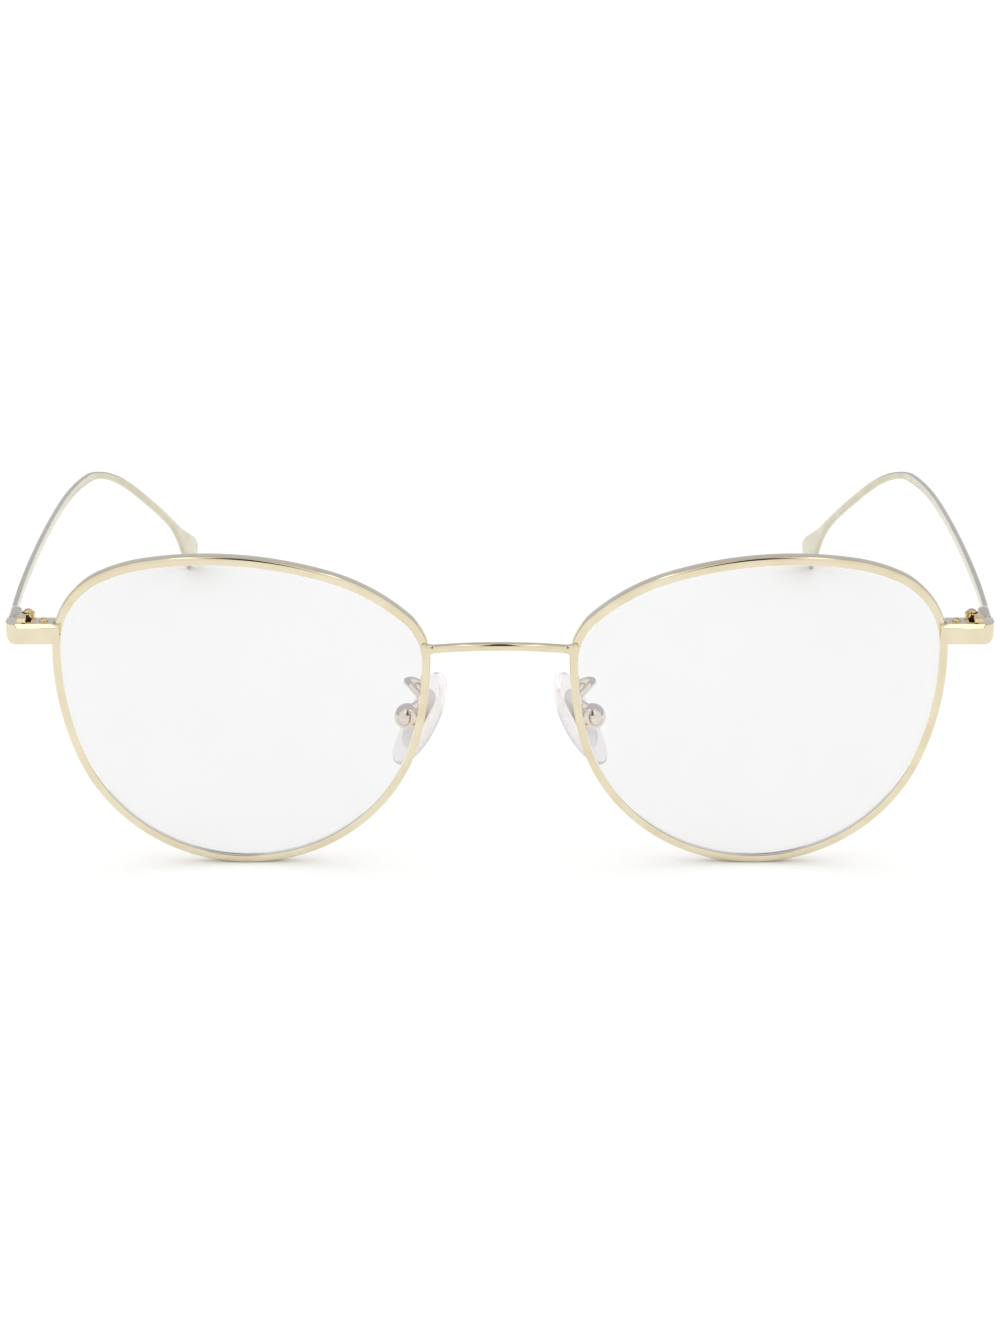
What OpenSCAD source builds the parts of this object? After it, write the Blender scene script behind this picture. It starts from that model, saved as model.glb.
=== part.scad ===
// Full-rim metal eyeglasses, standing open on the lower rims and the temple tips.
// The front faces -Y, the temples run to +Y and +Z is up. "Right" is the wearer's right, at -X.

/* [Lenses] */
// Boxed width of one lens
lens_w = 50; // [46:1:54]
// Distance between the two lenses over the nose
lens_gap = 20; // [18:1:22]
// Radius of the curve that the lenses and rims follow
base_curve = 131; // [110:1:200]
// Thickness of a lens
lens_t = 1.3; // [1.0:0.1:1.4]

/* [Front] */
// Thickness of the rim wire across the lens plane
rim_t = 1.15; // [1.0:0.05:1.4]
// Depth of the rim wire from front to back
rim_d = 1.7; // [1.6:0.1:2.0]
// Lean of the front, lower rims to the back, in degrees
front_lean = 3; // [0:0.5:5]
// Diameter of the bridge bar
bridge_d = 1.2; // [1.0:0.1:1.5]
// Width of the front over both endpieces
front_w = 133.6; // [133:0.2:137]
// Height of an endpiece
endpiece_h = 2.7; // [2.5:0.1:3.0]

/* [Hinges] */
// Diameter of the hinge barrels
barrel_d = 1.9; // [1.8:0.1:2.0]
// Diameter of the hinge screws
hinge_pin_d = 1.0; // [0.8:0.1:1.1]
// Running clearance of the hinge screws, on the radius
hinge_fit = 0.05; // [0.03:0.01:0.08]

/* [Temples] */
// Distance from the lens front to the end of a temple tip
reach = 138; // [130:1:145]
// Height of the temple wire along its straight run
temple_h = 1.5; // [1.2:0.1:1.8]
// Thickness of the temple wire along its straight run
temple_t = 0.9; // [0.7:0.1:1.0]
// Width of the flattened tip
paddle_w = 4.8; // [3.5:0.1:5.0]

/* [Nose pads] */
// Length of a nose pad
pad_len = 14.4; // [13:0.2:15]
// Width of a nose pad
pad_w = 6.6; // [6:0.2:7.6]
// Thickness of a nose pad
pad_t = 2.0; // [1.8:0.1:2.4]
// Turn of the pads from the side towards the back, in degrees
pad_splay = 32; // [25:1:38]
// Lean of the pads, tops together, in degrees
pad_flare = 27; // [20:1:30]

/* [Hidden] */

gold = [0.89, 0.83, 0.66];
pale_gold = [0.90, 0.86, 0.76];
clear = [0.95, 0.96, 0.98, 0.3];
silicone = [0.92, 0.92, 0.93, 0.6];
round_fn = 48;

// ---- Lens outline: a closed chain of tangent arcs --------------------------------------
// Each arc spans the directions of its outward normal, from one turn to the next, counted
// from the temporal side over the top. The bottom and the temporal side close the chain.
turns = [2, 63, 80, 108, 134, 181, 193, 338, 362];
corner_r = [11, 23, 51, 28, 8, 51];
bottom_arc = 6;
side_arc = 7;

function dir(a) = [cos(a), sin(a)];
function chord(i) = dir(turns[i + 1]) - dir(turns[i]);
function sum(v, i = 0) = i < len(v) - 1 ? v[i] + sum(v, i + 1) : v[i];
open_end = -sum([for (i = [0:len(corner_r) - 1]) corner_r[i] * chord(i)]);
function cross2(a, b) = a[0] * b[1] - a[1] * b[0];
close_det = cross2(chord(bottom_arc), chord(side_arc));
bottom_r = cross2(open_end, chord(side_arc)) / close_det;
side_r = cross2(chord(bottom_arc), open_end) / close_det;
arc_r = concat(corner_r, [bottom_r, side_r]);
function arc_start(i) = i == 0 ? [0, 0] : arc_start(i - 1) + arc_r[i - 1] * chord(i - 1);
function arc_at(a, i = 0) = a < turns[i + 1] || i == side_arc ? i : arc_at(a, i + 1);
function wrap(a) = a < turns[0] ? a + 360 : a >= turns[len(turns) - 1] ? a - 360 : a;
function raw_on(a, i) = arc_start(i) + arc_r[i] * (dir(a) - dir(turns[i]));
function raw(a) = raw_on(wrap(a), arc_at(wrap(a)));
box_mid = [(raw(0)[0] + raw(180)[0]) / 2, (raw(90)[1] + raw(270)[1]) / 2];
fit_k = lens_w / (raw(0)[0] - raw(180)[0]);
lens_h = fit_k * (raw(90)[1] - raw(270)[1]);

// A point of the lens outline, grown by d, with the boxed centre at the origin
function outline(a, d = 0) = fit_k * (raw(a) - box_mid) + d * dir(a);

// ---- Placing on the front ---------------------------------------------------------------
eye_x = (lens_gap + lens_w) / 2;
groove_h = 0.55;
rim_edge = rim_t - groove_h;
function sag(p) = base_curve - sqrt(base_curve * base_curve - p * p);

// Point of the right half of the front: q in the lens plane, w deep behind its curve
function lean(p) = [
    p[0],
    p[1] * cos(front_lean) - p[2] * sin(front_lean),
    p[1] * sin(front_lean) + p[2] * cos(front_lean)
];
function raise(p) = lean(p) + [0, 0, front_z];
function on_front(q, w) = raise([-eye_x - q[0], w + sag(norm(q)), q[1]]);
front_z = -min([
    for (a = [230:5:310])
        lean([0, rim_d / 2 + sag(norm(outline(a))), outline(a, rim_edge)[1]])[2]
]);

// ---- Sweeps -----------------------------------------------------------------------------
// Skin of a list of rings, each with n points; closed joins the last ring to the first
module skin(rings, closed = false) {
    n = len(rings[0]);
    m = len(rings);
    sides = [
        for (i = [0:m - (closed ? 1 : 2)], j = [0:n - 1])
            [i * n + j, i * n + (j + 1) % n, ((i + 1) % m) * n + (j + 1) % n, ((i + 1) % m) * n + j]
    ];
    halves = [for (f = sides, k = [0, 1]) k == 0 ? [f[0], f[1], f[2]] : [f[0], f[2], f[3]]];
    fan_a = [for (j = [1:n - 2]) [0, j + 1, j]];
    fan_b = [for (j = [1:n - 2]) [(m - 1) * n, (m - 1) * n + j, (m - 1) * n + j + 1]];
    polyhedron([for (r = rings) each r], closed ? halves : concat(halves, fan_a, fan_b));
}

function unit(v) = v / norm(v);
function hermite(p, i, t) =
    let (m = len(p) - 1,
         a = p[i], b = p[i + 1],
         da = (p[min(i + 1, m)] - p[max(i - 1, 0)]) / 2,
         db = (p[min(i + 2, m)] - p[i]) / 2)
    a * (2 * pow(t, 3) - 3 * pow(t, 2) + 1) + da * (pow(t, 3) - 2 * pow(t, 2) + t)
        + b * (3 * pow(t, 2) - 2 * pow(t, 3)) + db * (pow(t, 3) - pow(t, 2));
// Smooth curve through the points p, at s from 0 to 1
function along(p, s) =
    let (u = s * (len(p) - 1), i = min(floor(u), len(p) - 2)) hermite(p, i, u - i);
function tangent(p, s) = unit(along(p, min(s + 0.002, 1)) - along(p, max(s - 0.002, 0)));
// Rounded section of half width a and half height b; e of 1 is an ellipse
function signed_pow(v, e) = sign(v) * pow(abs(v), e);
function rounded(a, b, e, n) = [
    for (i = [0:n - 1]) let (t = 360 * (i + 0.5) / n)
        [a * signed_pow(cos(t), e), b * signed_pow(sin(t), e)]
];
// Ring at the point c, with the section laid on the axes u and v
function ring(c, u, v, sec) = [for (q = sec) c + q[0] * u + q[1] * v];

// ---- Rims and lenses --------------------------------------------------------------------
// Section of the rim wire as [out from the lens edge, depth]: groove inside, round outside
groove_y = rim_d / 2;
groove_half = 0.42;
function rim_section() = [
    [0.22 - groove_h, 0], [rim_edge - 0.35, 0.06], [rim_edge - 0.06, 0.4], [rim_edge, rim_d / 2],
    [rim_edge - 0.06, rim_d - 0.4], [rim_edge - 0.35, rim_d - 0.06], [0.22 - groove_h, rim_d],
    [-groove_h, rim_d - 0.2], [-groove_h, groove_y + groove_half], [0.05, groove_y],
    [-groove_h, groove_y - groove_half], [-groove_h, 0.2]
];
rim_steps = 90;
rim_split = 1.2;
split_at = 10.1;
function rim_ring(a) = [
    for (q = rim_section()) on_front(outline(a, q[0]), q[1])
];

module rim() {
    color(gold) skin([
        for (i = [0:rim_steps])
            rim_ring(split_at + rim_split / 2 + i * (360 - rim_split) / rim_steps)
    ]);
}

lens_front = (rim_d - lens_t) / 2;
lens_steps = 72;
bevel_half = 0.35;
bevel_tip = -0.02;
lens_edge = -groove_h - 0.08;
face_rings = 4;
// One ring of the lens face: k of 1 is the edge
function lens_ring(k, d, w) = [
    for (i = [0:lens_steps - 1]) on_front(k * outline(i * 360 / lens_steps, d), w)
];

module lens() {
    back_face = [for (k = [1:face_rings]) lens_ring(k / face_rings, lens_edge, lens_front + lens_t)];
    front_face = [for (k = [face_rings:-1:1]) lens_ring(k / face_rings, lens_edge, lens_front)];
    bevel = [
        lens_ring(1, lens_edge, groove_y + bevel_half),
        lens_ring(1, bevel_tip, groove_y),
        lens_ring(1, lens_edge, groove_y - bevel_half)
    ];
    color(clear) skin(concat(back_face, bevel, front_face));
}

// ---- Bridge -----------------------------------------------------------------------------
bridge_ends = lens_gap / 2 + 0.55;
bridge_z = 31.25;
bridge_arch = 1.2;
bridge_y = 2.75;
bridge_bow = 2.0;
saddle_h = 0.5;
saddle_lap = 0.65;
saddle_thin = 0.2;

module bridge() {
    // s runs from -1 to 1 between the rims; the ends swell into saddles over the fronts of the rims
    function swell(s) = lookup(abs(s), [[0, 0], [0.84, 0], [0.9, 0.4], [0.95, 0.95], [1, 1]]);
    color(gold) skin([
        for (i = [-20:20]) let (
            s = i / 20, g = swell(s), k = 1 - s * s,
            y = bridge_y - bridge_bow * k - saddle_lap * g,
            centre = [s * bridge_ends, y, bridge_z + bridge_arch * k])
        ring(centre, [0, -1, 0], [0, 0, 1],
             rounded(bridge_d / 2 - saddle_thin * g, bridge_d / 2 + saddle_h * g, 1 - 0.25 * g, 12))
    ]);
}

// ---- Endpieces and rim locks --------------------------------------------------------------
// Heights here count from the split of the rim, which lies in the middle of the endpiece
lock_z = on_front(outline(split_at), rim_d / 2)[2];
end_x = -front_w / 2;
end_y = 1.55;
plate_t = 1.2;
return_t = 1.7;
return_y = 4.85;
plate_in = end_x + 7.35;
lap_w = 0.95;
lap_t = 0.8;
corner = 1.8;
low_corner = 1.3;
bevel_cut = 0.47;
bevel_from = 1.4;
lock_in = end_x + 6.6;
lock_w = 3.2;
lock_y = end_y + plate_t;
lock_d = 2.35;
lock_gap = 0.1;
lock_hole = [lock_in - 1.5, lock_y + 1.0];
lock_pin_r = 0.4;

// Plan of the endpiece: an angle with a round outer corner, thin where it laps over the rim
module endpiece_plan() {
    difference() {
        translate([end_x, end_y]) square([plate_in - end_x, return_y - end_y]);
        translate([end_x - 1, end_y - 1]) difference() {
            square(corner + 1);
            translate([corner + 1, corner + 1]) circle(corner, $fn = round_fn);
        }
        translate([end_x + return_t, end_y + plate_t]) square([front_w, return_y]);
        translate([plate_in - lap_w, end_y + lap_t]) square([front_w, return_y]);
    }
}

// Front view of the endpiece: its lower outer corner is round
module endpiece_face() {
    translate([end_x + low_corner, -endpiece_h / 2])
        square([plate_in - end_x - low_corner, endpiece_h]);
    translate([end_x, low_corner - endpiece_h / 2])
        square([low_corner + 0.1, endpiece_h - low_corner]);
    translate([end_x + low_corner, low_corner - endpiece_h / 2])
        circle(low_corner, $fn = round_fn);
}

module endpiece() {
    color(gold) translate([0, 0, lock_z]) difference() {
        intersection() {
            translate([0, 0, -endpiece_h / 2]) linear_extrude(endpiece_h) endpiece_plan();
            translate([0, return_y + 1, 0]) rotate([90, 0, 0])
                linear_extrude(return_y + 1) endpiece_face();
        }
        // Bevel along the top of the front
        translate([end_x + bevel_from, end_y, endpiece_h / 2]) rotate([45, 0, 0])
            translate([0, -bevel_cut, -bevel_cut * sqrt(0.5)])
                cube([plate_in - end_x, 2 * bevel_cut, 2 * bevel_cut]);
    }
}

module lock_plan() {
    translate([lock_in - lock_w, lock_y]) square([lock_w, lock_d - 0.6]);
    translate([lock_in - lock_w + 0.6, lock_y]) square([lock_w - 0.6, lock_d]);
    translate([lock_in - lock_w + 0.6, lock_y + lock_d - 0.6]) circle(0.6, $fn = round_fn);
}

module lock_block(low, high, hole_r) {
    color(gold) translate([0, 0, lock_z + low]) difference() {
        linear_extrude(high - low) lock_plan();
        translate([lock_hole[0], lock_hole[1], -0.1])
            cylinder(high - low + 0.2, r = hole_r, $fn = round_fn);
    }
}

module upper_lock() lock_block(lock_gap / 2, endpiece_h / 2 - 0.05, lock_pin_r + 0.05);
module lower_lock() lock_block(0.1 - endpiece_h / 2, -lock_gap / 2, lock_pin_r);

// Screw with a domed, slotted head; its shaft hangs below the origin
module screw(shaft_r, shaft_len, head_r, head_h, slot_w) {
    color(pale_gold) difference() {
        union() {
            translate([0, 0, -shaft_len]) cylinder(shaft_len + 0.05, r = shaft_r, $fn = round_fn);
            intersection() {
                cylinder(head_h, r = head_r, $fn = round_fn);
                translate([0, 0, head_h - 1.3 * head_r]) sphere(1.3 * head_r, $fn = round_fn);
            }
        }
        translate([-head_r - 0.1, -slot_w / 2, 0.55 * head_h]) cube([2 * head_r + 0.2, slot_w, head_h]);
    }
}

module lock_screw() {
    translate([lock_hole[0], lock_hole[1], lock_z + endpiece_h / 2 - 0.05])
        rotate([0, 0, 60]) screw(lock_pin_r, endpiece_h - 0.3, 0.62, 0.45, 0.2);
}

// ---- Hinges -----------------------------------------------------------------------------
axis_x = end_x + 2.8;
axis_y = 5.6;
barrel_r = barrel_d / 2;
pin_r = hinge_pin_d / 2;
barrel_low = -1.9;
barrel_high = 1.9;
knuckle_low = -0.7;
knuckle_high = 0.5;
knuckle_gap = 0.05;
leaf_from = end_x + 1.15;
leaf_to = end_x + 2.4;
link_from = end_x + 1.45;
leaf_len = 3.2;
leaf_t = 1.0;

module on_axis(z) {
    translate([axis_x, axis_y, lock_z + z]) children();
}

module barrel(low, high, r) {
    on_axis(low) cylinder(high - low, r = r, $fn = round_fn);
}

module front_hinge() {
    leaf_x = end_x + return_t;
    color(pale_gold) difference() {
        union() {
            barrel(barrel_low, knuckle_low - knuckle_gap, barrel_r);
            barrel(knuckle_high + knuckle_gap, barrel_high, barrel_r);
            // Leaf along the inside of the return, up to the barrels
            translate([leaf_x - 0.1, lock_y, lock_z + barrel_low + 0.5])
                cube([leaf_t + 0.1, axis_y - lock_y, barrel_high - barrel_low - 0.5]);
        }
        // Room for the knuckle of the temple
        barrel(knuckle_low - knuckle_gap, knuckle_high + knuckle_gap, barrel_r + 0.12);
        translate([axis_x - 2, axis_y, lock_z + knuckle_low - knuckle_gap])
            cube([4, 1, knuckle_high - knuckle_low + 2 * knuckle_gap]);
        barrel(barrel_low - 1, barrel_high + 1, pin_r + 0.01);
    }
}

module temple_hinge() {
    color(pale_gold) difference() {
        union() {
            barrel(knuckle_low, knuckle_high, barrel_r);
            // Leaf along the inside of the temple
            translate([link_from, axis_y + 0.1, lock_z + knuckle_low])
                cube([axis_x - link_from, barrel_r - 0.1, knuckle_high - knuckle_low]);
            translate([leaf_from, axis_y + barrel_r - 0.1, lock_z + knuckle_low])
                cube([leaf_to - leaf_from, leaf_len, knuckle_high - knuckle_low]);
        }
        barrel(knuckle_low - 1, knuckle_high + 1, pin_r + hinge_fit);
    }
}

module hinge_screw() {
    on_axis(barrel_high) rotate([0, 0, 35])
        screw(pin_r, barrel_high - barrel_low - 0.1, 0.68, 0.5, 0.22);
}

// ---- Temples ----------------------------------------------------------------------------
// Points of the temple wire as [inwards from the outer face, back, height], from the hinge
// over the ear to the tip; back and height are shares of the reach and of the hinge height
butt_y = return_y + 0.25;
wire_run = [
    [-0.2, 0.000, 0.994], [-0.95, 0.150, 0.984], [-1.25, 0.340, 0.951], [-0.9, 0.525, 0.907],
    [0.3, 0.640, 0.869], [1.9, 0.700, 0.830], [4.7, 0.748, 0.741], [8.0, 0.810, 0.569],
    [10.8, 0.880, 0.373], [12.2, 0.942, 0.184], [12.9, 1.000, 0.030]
];
temple_path = [
    for (p = wire_run)
        [end_x + temple_t / 2 + p[0], butt_y + p[1] * (reach - butt_y), lock_z * p[2]]
];
// Half thickness and half height of the wire along the temple, and its shift to the inside
half_t = [
    [0, 0.54], [0.019, 0.54], [0.021, 0.9], [0.039, 0.9], [0.047, temple_t / 2],
    [0.45, temple_t / 2], [0.52, 0.52],
    [0.86, 0.5], [0.92, 0.42], [1, 0.36]
];
half_h = [
    [0, 1.05], [0.039, 1.0], [0.047, temple_h / 2], [0.42, temple_h / 2], [0.5, 0.58],
    [0.78, 0.58], [0.84, 0.2 * paddle_w], [0.9, 0.37 * paddle_w], [0.935, 0.48 * paddle_w],
    [0.955, 0.5 * paddle_w], [0.975, 0.49 * paddle_w], [0.988, 0.4 * paddle_w],
    [0.996, 0.26 * paddle_w], [1, 0.08 * paddle_w]
];
paddle_lift = [[0, 0], [0.78, 0], [0.9, 0.08 * paddle_w], [0.95, 0.1 * paddle_w], [1, 0]];
paddle_roll = [[0, 0], [0.8, 0], [0.92, 18], [1, 18]];
fine_from = 0.95;
temple_stations = concat([0, 0.019, 0.021, 0.039, 0.047], [for (i = [2:38]) i * fine_from / 38],
    [for (i = [1:10]) fine_from + i * (1 - fine_from) / 10]);

function temple_ring(s) =
    let (t = tangent(temple_path, s),
         side = unit(cross(t, [0, 0, 1])),
         up = cross(side, t),
         r = lookup(s, paddle_roll),
         u = side * cos(r) - up * sin(r),
         v = side * sin(r) + up * cos(r),
         a = lookup(s, half_t))
    ring(along(temple_path, s) + (a - temple_t / 2) * lookup(s, [[0, 1], [0.1, 1], [0.4, 0]]) * u
             + lookup(s, paddle_lift) * v,
         u, v, rounded(a, lookup(s, half_h), 0.6, 12));

module temple() {
    color(gold) skin([for (s = temple_stations) temple_ring(s)]);
}

// ---- Nose pads --------------------------------------------------------------------------
// In the pad's own frame +X faces the nose, Z runs along the pad and Y across it
pad_at = [-11.0, 9.6, 18.9];
box_r = 1.85;
box_back = 2.3;
box_face = 1.45;
pad_pin_r = 0.35;
slot_t = 0.5;
tongue_t = 0.4;

module on_pad() {
    translate(pad_at) rotate([0, pad_flare, 0]) rotate([0, 0, pad_splay]) children();
}

// Half width, half thickness and bend back of the pad along its length
module nose_pad() {
    rings = 22;
    color(silicone) on_pad() skin([
        for (i = [0:rings]) let (
            c = 90 - 180 * (0.5 + i) / (rings + 1),
            z = sin(c), w = pow(cos(c), 0.85))
        ring([0.25 - 0.45 * z * z, 0, z * pad_len / 2], [1, 0, 0], [0, 1, 0],
             rounded(pad_t / 2 * pow(cos(c), 0.5), pad_w / 2 * w, 0.85, 14))
    ]);
}

module pad_core() {
    plate_h = 0.62 * pad_len;
    plate_w = 0.5 * pad_w;
    color(pale_gold) on_pad() difference() {
        union() {
            // Plate inside the silicone
            translate([-0.2, 0, -plate_h / 2 + plate_w / 2]) rotate([0, 90, 0])
                cylinder(0.35, r = plate_w / 2, $fn = round_fn);
            translate([-0.2, 0, plate_h / 2 - plate_w / 2]) rotate([0, 90, 0])
                cylinder(0.35, r = plate_w / 2, $fn = round_fn);
            translate([-0.2, -plate_w / 2, -plate_h / 2 + plate_w / 2])
                cube([0.35, plate_w, plate_h - plate_w]);
            // Tongue that reaches into the box, round about the pin
            translate([-box_back, -tongue_t, -0.7]) cube([box_back - 0.1, 2 * tongue_t, 1.4]);
            translate([-box_back, tongue_t, 0]) rotate([90, 0, 0])
                cylinder(2 * tongue_t, r = 0.7, $fn = round_fn);
        }
        translate([-box_back, 1, 0]) rotate([90, 0, 0])
            cylinder(2, r = pad_pin_r + 0.05, $fn = round_fn);
    }
}

// Round box behind the pad, slotted for the tongue
module pad_box() {
    color(pale_gold) on_pad() difference() {
        translate([-box_back - 0.1, 0, 0]) sphere(box_r, $fn = round_fn);
        translate([-box_back - 1, -slot_t, -1.25]) cube([4, 2 * slot_t, 2.5]);
        translate([-box_face, -3, -3]) cube([3, 6, 6]);
        translate([-box_back, 3, 0]) rotate([90, 0, 0])
            cylinder(6, r = pad_pin_r, $fn = round_fn);
    }
}

module pad_screw() {
    color(pale_gold) on_pad() translate([-box_back, box_r - 0.1, 0]) rotate([-90, 0, 0])
        screw(pad_pin_r - 0.01, 2 * box_r - 0.3, 0.6, 0.35, 0.18);
}

arm_r = 0.38;
arm_path = [
    [-10.2, 3.6, 23.6], [-11.3, 5.0, 24.4], [-12.4, 6.3, 25.2], [-12.9, 7.3, 25.3],
    [-12.0, 8.1, 25.1], [-10.8, 8.2, 24.4], [-10.4, 7.8, 23.3], [-10.9, 7.8, 22.2],
    [-12.1, 8.2, 21.2]
];
arm_steps = 30;

module pad_arm() {
    color(pale_gold) skin([
        for (i = [0:arm_steps]) let (
            s = i / arm_steps,
            t = tangent(arm_path, s),
            u = unit(cross(t, [0.2, 0.3, 0.93])),
            v = cross(u, t))
        ring(along(arm_path, s), u, v, rounded(arm_r, arm_r * 1.35, 0.8, 8))
    ]);
}

// ---- Placing ----------------------------------------------------------------------------
// The origin is under the middle of the object
paddle_end = reach + 0.5;
rim_top_y = min([for (a = [60:10:120]) on_front(outline(a), 0)[1]]);
front_y = -(paddle_end + rim_top_y) / 2;

module seat(left = false) {
    translate([0, front_y, 0]) mirror([left ? 1 : 0, 0, 0]) children();
}

seat() rim();  // rim_right
seat(true) rim();  // rim_left
seat() bridge();
seat() lens();  // lens_right
seat(true) lens();  // lens_left
seat() endpiece();  // endpiece_right
seat(true) endpiece();  // endpiece_left
seat() upper_lock();  // upper_lock_right
seat(true) upper_lock();  // upper_lock_left
seat() lower_lock();  // lower_lock_right
seat(true) lower_lock();  // lower_lock_left
seat() lock_screw();  // lock_screw_right
seat(true) lock_screw();  // lock_screw_left
seat() front_hinge();  // front_hinge_right
seat(true) front_hinge();  // front_hinge_left
seat() temple_hinge();  // temple_hinge_right
seat(true) temple_hinge();  // temple_hinge_left
seat() hinge_screw();  // hinge_screw_right
seat(true) hinge_screw();  // hinge_screw_left
seat() temple();  // temple_right
seat(true) temple();  // temple_left
seat() pad_arm();  // pad_arm_right
seat(true) pad_arm();  // pad_arm_left
seat() pad_box();  // pad_box_right
seat(true) pad_box();  // pad_box_left
seat() pad_screw();  // pad_screw_right
seat(true) pad_screw();  // pad_screw_left
seat() pad_core();  // pad_core_right
seat(true) pad_core();  // pad_core_left
seat() nose_pad();  // nose_pad_right
seat(true) nose_pad();  // nose_pad_left
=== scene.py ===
import math

import bmesh
import bpy
import numpy as np
from mathutils import Matrix, Vector


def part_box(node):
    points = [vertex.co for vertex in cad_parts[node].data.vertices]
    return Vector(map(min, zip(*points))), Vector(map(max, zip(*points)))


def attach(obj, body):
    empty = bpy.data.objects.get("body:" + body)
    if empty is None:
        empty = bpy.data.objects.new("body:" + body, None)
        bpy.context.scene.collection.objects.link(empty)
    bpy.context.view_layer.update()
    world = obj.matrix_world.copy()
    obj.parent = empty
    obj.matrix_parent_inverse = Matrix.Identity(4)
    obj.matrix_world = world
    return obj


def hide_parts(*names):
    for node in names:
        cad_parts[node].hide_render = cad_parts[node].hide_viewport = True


# Full-rim metal eyeglasses. Every piece is built in millimetres for the wearer's right side, in the
# part's own coordinates, with the front at y = 0. place() turns it to metres, moves it to the
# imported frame, mirrors it for the left side, and hangs it on its CAD body.

MM = 0.001
SIDES = ("right", "left")

# ---- Sizes, as in part.scad ------------------------------------------------------------------
LENS_W = 50.0
LENS_GAP = 20.0
BASE_CURVE = 131.0
LENS_T = 1.3
RIM_T = 1.15
RIM_D = 1.7
FRONT_LEAN = 3.0
BRIDGE_D = 1.2
FRONT_W = 133.6
ENDPIECE_H = 2.7
BARREL_R = 0.95
HINGE_PIN_R = 0.5
REACH = 138.0
TEMPLE_H = 1.5
TEMPLE_T = 0.9
PADDLE_W = 4.8
PAD_LEN = 14.4
PAD_W = 6.6
PAD_T = 2.0
PAD_SPLAY = 32.0
PAD_FLARE = 27.0
END_Y = 1.55

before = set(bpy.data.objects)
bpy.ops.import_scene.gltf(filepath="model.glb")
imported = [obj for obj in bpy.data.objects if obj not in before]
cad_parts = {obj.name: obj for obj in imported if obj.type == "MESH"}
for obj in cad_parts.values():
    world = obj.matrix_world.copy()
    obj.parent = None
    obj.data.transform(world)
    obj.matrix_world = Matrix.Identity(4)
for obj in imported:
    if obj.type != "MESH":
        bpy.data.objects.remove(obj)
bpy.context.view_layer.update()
ENDPIECE_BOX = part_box("endpiece_right")
SEAT = ENDPIECE_BOX[0].y / MM - END_Y
LOCK_Z = (ENDPIECE_BOX[0].z + ENDPIECE_BOX[1].z) / 2 / MM


# ---- Lens outline: a closed chain of tangent arcs ---------------------------------------------
# Each arc spans the directions of its outward normal, counted from the temporal side over the top
TURNS = (2, 63, 80, 108, 134, 181, 193, 338, 362)
CORNER_R = (11, 23, 51, 28, 8, 51)
BOTTOM_ARC = 6
SIDE_ARC = 7


def heading(a):
    return np.array([math.cos(math.radians(a)), math.sin(math.radians(a))])


def chord(i):
    return heading(TURNS[i + 1]) - heading(TURNS[i])


def cross2(a, b):
    return a[0] * b[1] - a[1] * b[0]


def arc_radii():
    """Radii of all arcs: the bottom and the temporal side are solved so that the chain closes."""
    open_end = -sum(r * chord(i) for i, r in enumerate(CORNER_R))
    det = cross2(chord(BOTTOM_ARC), chord(SIDE_ARC))
    bottom = cross2(open_end, chord(SIDE_ARC)) / det
    side = cross2(chord(BOTTOM_ARC), open_end) / det
    return list(CORNER_R) + [bottom, side]


ARC_R = arc_radii()
ARC_START = [np.zeros(2)]
for arc in range(SIDE_ARC):
    ARC_START.append(ARC_START[-1] + ARC_R[arc] * chord(arc))


def raw_outline(a):
    a = (a - TURNS[0]) % 360 + TURNS[0]
    i = max(k for k in range(len(ARC_R)) if TURNS[k] <= a)
    return ARC_START[i] + ARC_R[i] * (heading(a) - heading(TURNS[i]))


BOX_MID = np.array([
    (raw_outline(0)[0] + raw_outline(180)[0]) / 2,
    (raw_outline(90)[1] + raw_outline(270)[1]) / 2,
])
FIT = LENS_W / (raw_outline(0)[0] - raw_outline(180)[0])


def outline(a, d=0.0):
    """Point of the lens outline at normal direction a, grown by d."""
    return FIT * (raw_outline(a) - BOX_MID) + d * heading(a)


# ---- Placing on the front -----------------------------------------------------------------------
EYE_X = (LENS_GAP + LENS_W) / 2
GROOVE_H = 0.55
RIM_EDGE = RIM_T - GROOVE_H
LEAN_COS = math.cos(math.radians(FRONT_LEAN))
LEAN_SIN = math.sin(math.radians(FRONT_LEAN))


def sag(p):
    return BASE_CURVE - math.sqrt(BASE_CURVE * BASE_CURVE - p * p)


def lean(p):
    return np.array([p[0], p[1] * LEAN_COS - p[2] * LEAN_SIN, p[1] * LEAN_SIN + p[2] * LEAN_COS])


def low_rim(a):
    q = outline(a)
    return lean((0, RIM_D / 2 + sag(np.linalg.norm(q)), outline(a, RIM_EDGE)[1]))[2]


FRONT_Z = -min(low_rim(a) for a in range(230, 311, 5))


def on_front(q, w):
    """Point of the right half of the front: q in the lens plane, w deep behind its curve."""
    p = lean((-EYE_X - q[0], w + sag(np.linalg.norm(q)), q[1]))
    return p + np.array([0, 0, FRONT_Z])


# ---- Curves and profiles ----------------------------------------------------------------------
def unit(v):
    return v / np.linalg.norm(v)


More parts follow.
